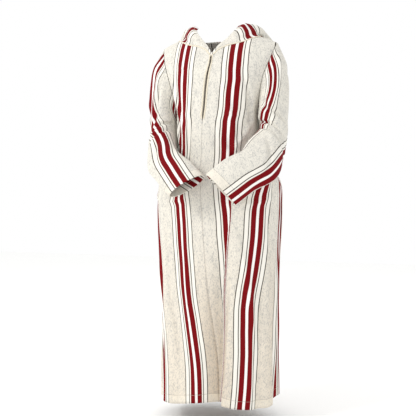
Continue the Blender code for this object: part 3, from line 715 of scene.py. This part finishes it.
def make_sleeve(name, side, stations, creases, shift, seed):
    turns = spread(-180.0, 180.0, SLEEVE_COLUMNS)
    rings = sleeve_rings(side, stations, turns)
    spans = len(rings) - 1
    places = [spans * row / (SLEEVE_ROWS - 1) for row in range(SLEEVE_ROWS)]
    points = as_array([[sleeve_point(rings, i, place) for i in range(SLEEVE_COLUMNS)] for place in places])
    out, normal = [], []
    for turn in turns:
        rise, behind = armhole_rise(turn)
        row = clamp(SKIRT_ROWS + rise_rows(rise), SKIRT_ROWS + 0.4, PANEL_ROWS - 1.4)
        edge = side * (SIDE + (1.0 if behind else -1.0))
        here = panel_point(edge, row)
        step_across = panel_point(edge + 0.05, row) - here
        step_up = panel_point(edge, row + 0.05) - here
        toward = panel_point(side * (SIDE + (0.1 if behind else -0.1)), row) - here
        out.append(Vector((0.0, 0.0, 1.0)) if rise < 0.0001 else toward.normalized())
        normal.append(step_across.cross(step_up).normalized())
    points = sewn_start(points, (np.array(out), np.array(normal)), 3, 10)
    along = arc_along(points, 0)
    around = arc_along(points, 1)
    middle = SLEEVE_COLUMNS // 2
    q = around - around[:, middle:middle + 1]
    cuff = along[-1:] - along
    normals = grid_normals(points, closed=True) * -side
    level = along.mean(axis=1, keepdims=True) * np.ones_like(q)
    edge = np.minimum(along, cuff + 0.012)
    points = add_creases(points, normals, q, level, edge, creases, seed, 0.0020)
    points[:, -1] = points[:, 0]
    across = q + np.array([read_table(shift, distance, 1) for distance in level[:, 0]])[:, None]
    piece = cloth_piece(name, points, (across, -level), (along, cuff), closed=True)
    return piece, grid_fields(points, q, cuff, along, closed=True, facing=-side)


def make_hood():
    places = spread(-1.0, 1.0, HOOD_COLUMNS)
    levels = [row / (HOOD_ROWS - 1) for row in range(HOOD_ROWS)]
    points = as_array([[hood_point(place, level) for place in places] for level in levels])
    out, normal = [], []
    top = PANEL_ROWS - 1
    for place in places:
        angle = neck_angle(place)
        here = panel_point(angle, top)
        below = panel_point(angle, top - 0.4)
        step_across = panel_point(angle + 0.05, top - 0.4) - below
        out.append((here - below).normalized())
        normal.append(step_across.cross(here - below).normalized())
    points = sewn_start(points, (np.array(out), np.array(normal)), 2, 6)
    down = arc_along(points, 0)
    rim = down[-1:] - down
    along_rim = arc_along(points[-8:-7], 1)[0]
    middle = HOOD_COLUMNS // 2
    distance = np.abs(along_rim - along_rim[middle])[None, :] * np.ones_like(down)
    normals = grid_normals(points, closed=True)
    field = ripple(points, 77.0, 0.05, 0.004) * fade_in(down, 0.03)
    points = points + normals * field[..., None]
    points[:, -1] = points[:, 0]
    piece = cloth_piece("robe_hood", points, (distance - HOOD_SHIFT, down), (down, rim), closed=True)
    return piece, grid_fields(points, distance, rim, down, closed=True)


# Trim, zip and sewing


def line_at(grid, field, value, axis=0):
    """Points and normals where a field of a grid first reaches a value, one for each row or column."""
    points, normals, values = grid["points"], grid["normals"], grid[field]
    if axis == 1:
        points, normals, values = points.swapaxes(0, 1), normals.swapaxes(0, 1), values.T
    places, outs = [], []
    for column in range(points.shape[1]):
        line = values[:, column]
        rising = line[-1] > line[0]
        order = range(len(line) - 1) if rising else range(len(line) - 2, -1, -1)
        for i in order:
            low, high = (i, i + 1) if rising else (i + 1, i)
            if line[low] <= value <= line[high]:
                t = (value - line[low]) / max(line[high] - line[low], 1e-9)
                places.append(points[low, column] * (1 - t) + points[high, column] * t)
                outs.append(normals[low, column] * (1 - t) + normals[high, column] * t)
                break
    return np.array(places), unit(np.array(outs))


def resample(places, outs, pitch):
    """The same line at even steps."""
    run = np.concatenate([[0.0], np.cumsum(np.linalg.norm(np.diff(places, axis=0), axis=1))])
    count = max(int(run[-1] / pitch), 2)
    at = np.linspace(0.0, run[-1], count + 1)
    even = np.stack([np.interp(at, run, places[:, k]) for k in range(3)], axis=-1)
    out = unit(np.stack([np.interp(at, run, outs[:, k]) for k in range(3)], axis=-1))
    return even, out


def mesh_piece(name, vertices, faces, smooth=True):
    mesh = bpy.data.meshes.new(name)
    mesh.from_pydata([tuple(v) for v in vertices], [], faces)
    mesh.update()
    item = bpy.data.objects.new(name, mesh)
    bpy.context.collection.objects.link(item)
    drop_selection()
    item.select_set(True)
    bpy.context.view_layer.objects.active = item
    edit_all(bpy.ops.mesh.normals_make_consistent, inside=False)
    if smooth:
        bpy.ops.object.shade_smooth_by_angle(angle=math.radians(50.0))
    return item


def line_frames(places, outs, pitch):
    """A line at even steps: its places, then its outward, forward and sideways directions."""
    places, outs = resample(places, outs, pitch)
    ahead = unit(np.gradient(places, axis=0))
    return places, outs, ahead, unit(np.cross(ahead, outs))


def tube_faces(rings, sides, base=0):
    """Faces of a closed tube whose vertices follow ring by ring from a base, with both ends capped."""
    faces = []
    last = base + (rings - 1) * sides
    for ring in range(base, last, sides):
        for k in range(sides):
            a, c = ring + k, ring + (k + 1) % sides
            faces.append((a, c, c + sides, a + sides))
    faces.append(tuple(range(base, base + sides)))
    faces.append(tuple(reversed(range(last, last + sides))))
    return faces


def plaited(name, places, outs, height):
    """A braid swept along a line: a flattened cord whose two edges swell in turn."""
    places, outs, _, across = line_frames(places, outs, BRAID_STEP)
    vertices = []
    for i, (p, n, b) in enumerate(zip(places, outs, across)):
        phase = i * BRAID_STEP / BRAID_PLAIT * 2.0 * math.pi
        for k in range(BRAID_SIDES):
            angle = 2.0 * math.pi * k / BRAID_SIDES
            swell = 1.0 + 0.10 * math.sin(phase + (0.0 if math.cos(angle) > 0 else math.pi))
            sideways = math.cos(angle) * BRAID_WIDTH / 2.0 * swell
            rise = math.sin(angle) * height / 2.0 * (1.0 + 0.16 * math.sin(phase + 3.0 * math.cos(angle)))
            vertices.append(p + b * sideways + n * rise)
    return mesh_piece(name, vertices, tube_faces(len(places), BRAID_SIDES))


def stitches(name, lines):
    """Rows of stitches lying on the cloth, joined as one piece."""
    vertices, faces = [], []
    for places, outs in lines:
        for p, n, t, b in zip(*line_frames(places, outs, STITCH_PITCH)):
            faces += tube_faces(4, 4, len(vertices))
            p = p + n * (CLOTH / 2.0 + STITCH_LIFT)
            for end, scale in ((-0.5, 0.55), (-0.28, 1.0), (0.28, 1.0), (0.5, 0.55)):
                for edge, low in ((-0.5, 0.35), (0.0, 1.0), (0.5, 0.35), (0.0, -0.6)):
                    place = p + t * end * STITCH + b * edge * STITCH_WIDTH * scale
                    vertices.append(place + n * STITCH_HEIGHT * (low * scale * 0.5))
    return mesh_piece(name, vertices, faces)


def zip_lines(left_grid, right_grid):
    """The zip's middle line: places and outward directions from its foot to its top."""
    points = (left_grid["points"][:, 0] + right_grid["points"][:, -1]) / 2.0
    normals = left_grid["normals"][:, 0] + right_grid["normals"][:, -1]
    top = points[-1, 2]
    keep = points[:, 2] > top - ZIP_LENGTH - 0.004
    return points[keep], unit(normals[keep])


def make_tape(name, side, places, outs):
    places, outs = resample(places, outs, TAPE_STEP)
    face = [(0.0004, 0.0), (0.0024, 0.0), (0.0030, -0.0003), (0.0118, -0.0009)]
    outline = face + [(x, depth - TAPE_THICKNESS) for x, depth in reversed(face)]
    vertices = []
    for p, n in zip(places, outs):
        for x, depth in outline:
            vertices.append(p + n * (depth - TAPE_INSET) + np.array([side * x, 0.0, 0.0]))
    return mesh_piece(name, vertices, tube_faces(len(places), len(outline)))


def make_teeth(places, outs):
    """The zip's two rows of teeth, meeting in the middle below the slider."""
    places, outs, ups, _ = line_frames(places, outs, TOOTH_PITCH / 2.0)
    vertices, faces = [], []
    last = len(places) - int(TEETH_TOP_GAP / (TOOTH_PITCH / 2.0))
    sections = ((-0.0009, 0.00034, 0.00062), (0.0006, 0.00042, 0.00062), (0.0026, 0.00050, 0.00048))
    for i in range(2, last):
        p, n, t = places[i], outs[i], ups[i]
        b = np.array([1.0 if i % 2 else -1.0, 0.0, 0.0])
        faces += tube_faces(len(sections), 4, len(vertices))
        for x, half, rise in sections:
            for up, lift in ((-1, -1), (1, -1), (1, 1), (-1, 1)):
                vertices.append(p + b * x + t * up * half + n * (lift * rise - TOOTH_INSET))
    return mesh_piece("zip_teeth", vertices, faces, smooth=False)


# Materials


def maths(operation, swapped=False):
    """A method that puts a value, and another one if given, through a Math node."""

    def method(self, *others):
        values = (*others, self) if swapped else (self, *others)
        node = add_node(self.tree, "ShaderNodeMath", {"operation": operation}, values)
        return Value(self.tree, node.outputs[0])

    return method


class Value:
    """A socket that adds Math nodes when it is used in an expression."""

    __add__ = maths("ADD")
    __radd__ = maths("ADD")
    __sub__ = maths("SUBTRACT")
    __rsub__ = maths("SUBTRACT", swapped=True)
    __mul__ = maths("MULTIPLY")
    __truediv__ = maths("DIVIDE")
    __mod__ = maths("FLOORED_MODULO")
    __abs__ = maths("ABSOLUTE")
    sine = maths("SINE")
    least = maths("MINIMUM")

    def __init__(self, tree, socket):
        self.tree, self.socket = tree, socket

    def step(self, low, high):
        """Smooth 0 to 1 as the value goes from low to high."""
        settings = {"interpolation_type": "SMOOTHSTEP", "clamp": True}
        node = add_node(self.tree, "ShaderNodeMapRange", settings, (self, low, high))
        return Value(self.tree, node.outputs[0])

    def ramp(self, stops):
        """Colour from a ramp with the given stops."""
        node = add_node(self.tree, "ShaderNodeValToRGB", {}, (self,))
        bar = node.color_ramp
        while len(bar.elements) > 1:
            bar.elements.remove(bar.elements[-1])
        bar.elements[0].position = stops[0][0]
        bar.elements[0].color = (*stops[0][1], 1.0)
        for place, colour in stops[1:]:
            bar.elements.new(place).color = (*colour, 1.0)
        return node.outputs["Color"]


def add_node(tree, kind, settings, inputs):
    """A node of a type, its settings first, then the values or links of its sockets, by order or by name."""
    node = tree.nodes.new(kind)
    for key, value in settings.items():
        setattr(node, key, value)
    pairs = inputs.items() if isinstance(inputs, dict) else enumerate(inputs)
    for key, value in pairs:
        feed(tree, node.inputs[key], value)
    return node


def feed(tree, socket, value):
    """Gives a socket a link, a number or a colour."""
    if isinstance(value, Value):
        value = value.socket
    if isinstance(value, bpy.types.NodeSocket):
        tree.links.new(value, socket)
    elif isinstance(value, tuple):
        socket.default_value = (*value, 1.0)
    else:
        socket.default_value = value


def mix_colour(tree, share, first, second, blend="MIX"):
    node = tree.nodes.new("ShaderNodeMix")
    node.data_type = "RGBA"
    node.blend_type = blend
    for index, value in ((0, share), (6, first), (7, second)):
        feed(tree, node.inputs[index], value)
    return node.outputs[2]


def noise_at(tree, vector, scale, detail=2.0, roughness=0.5):
    inputs = {"Vector": vector, "Scale": scale, "Detail": detail, "Roughness": roughness}
    return Value(tree, add_node(tree, "ShaderNodeTexNoise", {}, inputs).outputs[0])


def stretched_noise(tree, parts, scales, detail=2.0, roughness=0.5):
    """Noise at a place whose parts each have their own scale."""
    scaled = [part * scale for part, scale in zip(parts, scales)]
    place = add_node(tree, "ShaderNodeCombineXYZ", {}, scaled).outputs[0]
    return noise_at(tree, place, 1.0, detail, roughness)


def linear(red, green, blue):
    """A colour given as it shows on a screen, 0 to 255, turned into the light that it stands for."""
    shares = (red / 255.0, green / 255.0, blue / 255.0)
    return tuple(c / 12.92 if c <= 10 / 255.0 else ((c + 0.055) / 1.055) ** 2.4 for c in shares)


WHITE = linear(244, 243, 240)
PALE = linear(238, 235, 227)
CREAM = linear(238, 230, 214)
HEATHER = linear(226, 222, 212)
FLECK = linear(104, 112, 122)
WARM = linear(228, 217, 200)
RED = linear(118, 0, 8)
LINE = linear(46, 36, 30)
# Painted shade: the brownish grey that the cloth shows in the shade of the skirt's deep folds
SHADE_TAN = linear(186, 164, 138)
# A stripe group's edges: distance from its middle, colour before it and after it
GROUP_EDGES = (
    (0.0052, WHITE, RED),
    (RED_HALF, RED, PALE),
    (0.0300, PALE, LINE),
    (0.0333, LINE, PALE),
    (0.0478, PALE, LINE),
)


def new_material(name, roughness, sheen=0.0, metallic=0.0):
    material = bpy.data.materials.new(name)
    material.use_nodes = True
    tree = material.node_tree
    shader = tree.nodes["Principled BSDF"]
    shader.inputs["Roughness"].default_value = roughness
    shader.inputs["Metallic"].default_value = metallic
    shader.inputs["Sheen Weight"].default_value = sheen
    shader.inputs["Specular IOR Level"].default_value = 0.2
    return material, tree, shader


def parts_of(tree, vector):
    """The three values of a vector."""
    node = add_node(tree, "ShaderNodeSeparateXYZ", {}, (vector,))
    return [Value(tree, node.outputs[k]) for k in range(3)]


def object_place(tree):
    return add_node(tree, "ShaderNodeTexCoord", {}, ()).outputs["Object"]


def raise_surface(tree, shader, strength, distance, height):
    inputs = {"Strength": strength, "Distance": distance, "Height": height}
    tree.links.new(add_node(tree, "ShaderNodeBump", {}, inputs).outputs[0], shader.inputs["Normal"])


def striped_cloth(name, hood=False):
    """Woven cloth with lengthwise stripes in groups, flecked between them, with a turned band at its edge,
    and painted shade in the skirt's fold valleys.
    """
    material, tree, shader = new_material(name, 0.86)
    cloth = add_node(tree, "ShaderNodeUVMap", {"uv_map": "cloth"}, ())
    edge = add_node(tree, "ShaderNodeUVMap", {"uv_map": "edge"}, ())
    u, v, _ = parts_of(tree, cloth.outputs[0])
    seam, hem, _ = parts_of(tree, edge.outputs[0])

    wander = (stretched_noise(tree, (u, v), (3.0, 9.0)) - 0.5) * WANDER
    yarn = (stretched_noise(tree, (u, v), (30.0, 300.0)) - 0.5) * YARN_WANDER
    place = u + wander + yarn
    half = STRIPE_REPEAT / 2.0
    distance = abs((abs(place) - FIRST_GROUP + half) % STRIPE_REPEAT - half)
    stops = [(0.0, WHITE)]
    for at, before, after in GROUP_EDGES:
        stops.append(((at - EDGE_SOFT) / RAMP_REACH, before))
        stops.append(((at + EDGE_SOFT) / RAMP_REACH, after))
    stripes = (distance / RAMP_REACH).ramp(stops)
    plain = distance.step(GROUP_HALF, GROUP_HALF + 0.0006)

    spot = parts_of(tree, object_place(tree))
    flecks = stretched_noise(tree, spot, (230.0, 230.0, 120.0), 3.0, 0.75).step(0.50, 0.60)
    streaks = stretched_noise(tree, spot, (60.0, 60.0, 26.0), 4.0, 0.65).step(0.42, 0.70)
    # Warmer towards the hem: partly the cloth's own tint, partly painted shade of the lower skirt
    warm_tint_and_shade = (v * -1.0).step(0.45, 1.45)
    ground = mix_colour(tree, warm_tint_and_shade * WARM_TINT_AND_SHADE_SHARE, HEATHER, WARM)
    turned = 0.0 if hood else 1.0
    # Painted shade: tan laid over the skirt beside the centre front and the side seams, where the folds'
    # valleys lie in shade
    valley_shade = (1.0 - seam.step(0.010, 0.110)) * (v * -1.0).step(0.70, 1.25) * (VALLEY_SHADE_SHARE * turned)
    ground = mix_colour(tree, valley_shade, ground, SHADE_TAN)
    ground = mix_colour(tree, (flecks * FLECK_SHARE + streaks * STREAK_SHARE).least(0.8), ground, FLECK)
    band_share = (1.0 - hem.step(HEM_BAND - 0.001, HEM_BAND)) * (BAND_SHARE * turned)
    ground = mix_colour(tree, band_share, ground, CREAM)
    colour = mix_colour(tree, plain, stripes, ground)

    worn = stretched_noise(tree, (u, v), (260.0, 900.0), 2.0, 0.6).step(0.35, 0.75)
    colour = mix_colour(tree, worn * WORN_SHARE, colour, mix_colour(tree, 1.0, colour, CREAM, "MULTIPLY"))
    fold_line = (1.0 - abs(hem - HEM_BAND).step(0.0, 0.0016)) * (FOLD_LINE_SHARE * turned)
    colour = mix_colour(tree, fold_line, colour, LINE)
    tree.links.new(colour, shader.inputs["Base Color"])

    thread = 2.0 * math.pi / WEAVE_PITCH
    weave = (u * thread).sine() * (v * thread).sine()
    slub = stretched_noise(tree, (u, v), (90.0, 700.0))
    red_rib = 1.0 - distance.step(RED_HALF, RED_HALF + 0.0006)
    raise_surface(tree, shader, 0.35, 0.0006, weave * 0.25 + slub * 0.9 + red_rib * 0.5)
    tree.links.new((0.80 + slub * 0.14).socket, shader.inputs["Roughness"])
    return material


def braid_material():
    material, tree, shader = new_material("braid", 0.78, sheen=0.2)
    place = object_place(tree)
    x, _, z = parts_of(tree, place)
    twist = ((z + x) * (2.0 * math.pi / BRAID_TWIST)).sine()
    fibre = noise_at(tree, place, 900.0, 3.0, 0.7)
    shade = (twist * 0.25 + 0.5) * 0.6 + fibre * 0.4
    colour = mix_colour(tree, shade, linear(214, 200, 172), linear(246, 240, 224))
    tree.links.new(colour, shader.inputs["Base Color"])
    raise_surface(tree, shader, 0.6, 0.0005, twist * 0.5 + fibre)
    return material


def tape_material():
    material, tree, shader = new_material("zip_tape", 0.82)
    place = object_place(tree)
    x, _, z = parts_of(tree, place)
    thread = 2.0 * math.pi / TAPE_WEAVE
    weave = (x * thread).sine() * (z * thread).sine()
    fibre = noise_at(tree, place, 1500.0, 2.0)
    colour = mix_colour(tree, fibre, linear(206, 196, 178), linear(238, 231, 217))
    tree.links.new(colour, shader.inputs["Base Color"])
    raise_surface(tree, shader, 0.5, 0.0004, weave)
    return material


def metal_material(name, colour, worn_colour, roughness):
    material, tree, shader = new_material(name, roughness, metallic=1.0)
    place = object_place(tree)
    patches = noise_at(tree, place, 260.0, 4.0, 0.6)
    shade = mix_colour(tree, patches.step(0.52, 0.70) * 0.6, colour, worn_colour)
    tree.links.new(shade, shader.inputs["Base Color"])
    tree.links.new((patches * 0.20 + (roughness - 0.08)).socket, shader.inputs["Roughness"])
    raise_surface(tree, shader, 0.15, 0.0002, noise_at(tree, place, 1800.0, 2.0))
    return material


def plain_material(name, roughness, sheen, scale, dark, light):
    """Two near shades mixed by soft noise."""
    material, tree, shader = new_material(name, roughness, sheen=sheen)
    shade = noise_at(tree, object_place(tree), scale)
    tree.links.new(mix_colour(tree, shade, dark, light), shader.inputs["Base Color"])
    return material


def give(item, material):
    item.data.materials.clear()
    item.data.materials.append(material)


# Making the robe

cloth_look = striped_cloth("striped_cloth")
hood_look = striped_cloth("striped_cloth_hood", hood=True)
braid_look = braid_material()
tape_look = tape_material()
thread_look = plain_material("sewing_thread", 0.7, 0.2, 1200.0, linear(216, 203, 180), linear(240, 232, 216))
floor_look = plain_material("pale_floor", 0.9, 0.0, 1.5, linear(251, 251, 250), linear(253, 253, 252))
slider_look = metal_material("zip_metal", linear(92, 84, 74), linear(168, 156, 138), 0.34)
teeth_look = metal_material("zip_teeth_metal", linear(74, 66, 58), linear(150, 138, 122), 0.38)

front_left, left_grid = make_front("robe_front_left", 1.0, FRONT_LEFT_CREASES, 3.0)
front_right, right_grid = make_front("robe_front_right", -1.0, FRONT_RIGHT_CREASES, 17.0)
back, back_grid = make_back()
left_tables = (SLEEVE_LEFT, SLEEVE_LEFT_CREASES, SLEEVE_LEFT_SHIFT)
right_tables = (SLEEVE_RIGHT, SLEEVE_RIGHT_CREASES, SLEEVE_RIGHT_SHIFT)
sleeve_left, cuff_left_grid = make_sleeve("robe_sleeve_left", 1.0, *left_tables, 41.0)
sleeve_right, cuff_right_grid = make_sleeve("robe_sleeve_right", -1.0, *right_tables, 59.0)
hood, hood_grid = make_hood()

for item, node, look in (
    (front_left, "front_left", cloth_look),
    (front_right, "front_right", cloth_look),
    (back, "back", cloth_look),
    (sleeve_left, "sleeve_left", cloth_look),
    (sleeve_right, "sleeve_right", cloth_look),
    (hood, "hood", hood_look),
):
    give(item, look)
    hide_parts(node)
    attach(item, "robe")


def add_braid(node, places, outs, lift, height):
    """A plaited braid just above the cloth, in place of its plain solid."""
    braid = plaited(node + "_plait", places + outs * lift, outs, height)
    give(braid, braid_look)
    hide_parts(node)
    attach(braid, "robe")


for word, grid in (("left", left_grid), ("right", right_grid)):
    places, outs = line_at(grid, "u", BRAID_INSET, axis=1)
    keep = places[:, 2] > places[:, 2].max() - ZIP_LENGTH
    add_braid("front_braid_" + word, places[keep], outs[keep], FRONT_BRAID_LIFT, FRONT_BRAID_HEIGHT)
    places, outs = line_at(grid, "top", BRAID_INSET)
    count = int(FRONT_COLUMNS * NECK_CORNER / SIDE)
    keep = slice(1, count) if word == "left" else slice(-count, -1)
    add_braid("neck_braid_" + word, places[keep], outs[keep], NECK_BRAID_LIFT, NECK_BRAID_HEIGHT)

zip_places, zip_outs = zip_lines(left_grid, right_grid)
for word, side in (("left", 1.0), ("right", -1.0)):
    tape = make_tape("zip_tape_" + word + "_woven", side, zip_places, zip_outs)
    give(tape, tape_look)
    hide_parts("zip_tape_" + word)
    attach(tape, "robe")
teeth = make_teeth(zip_places, zip_outs)
give(teeth, teeth_look)
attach(teeth, "robe")
for node in ("zip_slider", "zip_pull"):
    give(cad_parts[node], slider_look)

seam_lines = [line_at(grid, "hem", HEM_BAND - 0.002) for grid in (left_grid, right_grid, back_grid)]
seam_lines += [line_at(grid, "hem", CUFF_BAND) for grid in (cuff_left_grid, cuff_right_grid)]
seam_lines += [line_at(hood_grid, "hem", HOOD_STITCH_INSET)]
sewing = stitches("hem_cuff_and_hood_stitching", seam_lines)
give(sewing, thread_look)
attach(sewing, "robe")

# Floor, camera and light
drop_selection()
bpy.ops.mesh.primitive_plane_add(size=12.0, location=(0.0, 0.0, HEM_HEIGHT - FLOOR_DROP))
floor = bpy.context.object
floor.name = "floor"
bpy.ops.object.transform_apply(location=True, rotation=True, scale=True)
give(floor, floor_look)

turn = math.radians(CAMERA_AZIMUTH)
rise = math.radians(CAMERA_ELEVATION)
target = Vector((VIEW_SIDE * math.cos(turn), VIEW_SIDE * math.sin(turn), VIEW_MIDDLE))
toward = Vector((math.sin(turn) * math.cos(rise), -math.cos(turn) * math.cos(rise), math.sin(rise)))
bpy.ops.object.camera_add(location=target + toward * CAMERA_DISTANCE)
camera = bpy.context.object
camera.rotation_euler = (-toward).to_track_quat("-Z", "Y").to_euler()
camera.data.sensor_width = SENSOR
camera.data.lens = SENSOR * CAMERA_DISTANCE / VIEW_HEIGHT
bpy.context.scene.camera = camera


def add_light(name, place, size, power, colour=(1.0, 1.0, 1.0)):
    bpy.ops.object.light_add(type="AREA", location=place)
    lamp = bpy.context.object
    lamp.name = name
    lamp.data.size = size
    lamp.data.energy = power
    lamp.data.color = colour
    lamp.rotation_euler = (Vector((0.0, 0.0, -0.6)) - Vector(place)).to_track_quat("-Z", "Y").to_euler()


add_light("key_light", (-2.4, -2.6, 1.6), 1.0, 62.0, (1.0, 0.985, 0.96))
add_light("fill_light", (3.0, -1.6, 0.5), 1.6, 4.0, (0.97, 0.985, 1.0))
add_light("back_light", (0.6, 3.2, 1.6), 2.2, 12.0)
add_light("side_light", (-2.8, 1.0, -0.2), 2.0, 5.0)

world = bpy.data.worlds.new("studio")
bpy.context.scene.world = world
world.use_nodes = True
world.node_tree.nodes["Background"].inputs["Color"].default_value = (1.0, 1.0, 1.0, 1.0)
world.node_tree.nodes["Background"].inputs["Strength"].default_value = 1.0
bpy.context.scene.view_settings.view_transform = "Standard"
